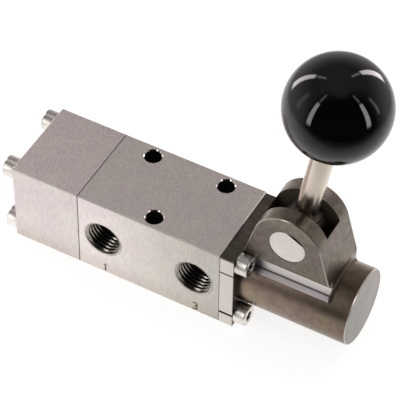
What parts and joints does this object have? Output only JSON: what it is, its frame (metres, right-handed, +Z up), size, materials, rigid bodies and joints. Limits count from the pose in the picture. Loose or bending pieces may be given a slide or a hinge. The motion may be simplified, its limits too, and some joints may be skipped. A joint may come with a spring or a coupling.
{
  "type": "hand lever air valve",
  "caption": "Square-bodied spool valve for compressed air, worked by a ball-knobbed hand lever in a clevis at one end, with a spring return and threaded ports in its sides.",
  "frame": {"origin": "middle of the valve body's underside, on which the valve rests or is bolted down", "axes": "+X along the valve towards the lever, -Y out of the face with ports 1 and 3, +Z up"},
  "size_m": [0.1215, 0.032, 0.1101],
  "materials": {
    "body_steel": "fine ground",
    "housing_steel": "turned and milled, dull",
    "screw_steel": "bright",
    "rod_steel": "polished",
    "pin_steel": "polished",
    "hub_steel": "milled",
    "knob_black": "gloss",
    "insert_brass": "turned",
    "seal_rubber": "matt",
    "spacer_aluminium": "turned",
    "spool_steel": "ground",
    "spring_steel": "drawn wire",
    "bush_bronze": "sintered"
  },
  "bodies": {
    "valve": {"valve_body": "body_steel", "end_cap": "body_steel", "lever_housing": "housing_steel", "end_cap_screws": "screw_steel", "housing_screws": "screw_steel", "guide_bush": "bush_bronze", "pivot_pin": "pin_steel", "spool_seal_1": "seal_rubber", "spool_seal_2": "seal_rubber", "spool_seal_3": "seal_rubber", "spool_seal_4": "seal_rubber", "seal_spacer_1": "spacer_aluminium", "seal_spacer_2": "spacer_aluminium", "seal_spacer_3": "spacer_aluminium", "return_spring": "spring_steel"},
    "spool": {"spool": "spool_steel", "spring_seat": "spool_steel", "plunger": "spool_steel"},
    "lever": {"lever_hub": "hub_steel", "lever_rod": "rod_steel", "knob_insert": "insert_brass", "ball_knob": "knob_black"}
  },
  "joints": [
    {"name": "lever_swing", "type": "hinge", "parent": "valve", "child": "lever", "pos_m": [0.0442, 0, 0.03974], "axis": [0, 1, 0], "range_deg": [0, 18], "stiffness_Nm_per_rad": 1.2, "springref_deg": -20.05},
    {"name": "spool_slide", "type": "slide", "parent": "valve", "child": "spool", "axis": [1, 0, 0], "range_m": [-0.00767, 0], "deforming": ["return_spring"]}
  ],
  "couplings": [
    {"joint": "spool_slide", "follows": "lever_swing", "m_per_rad": -0.024389}
  ]
}
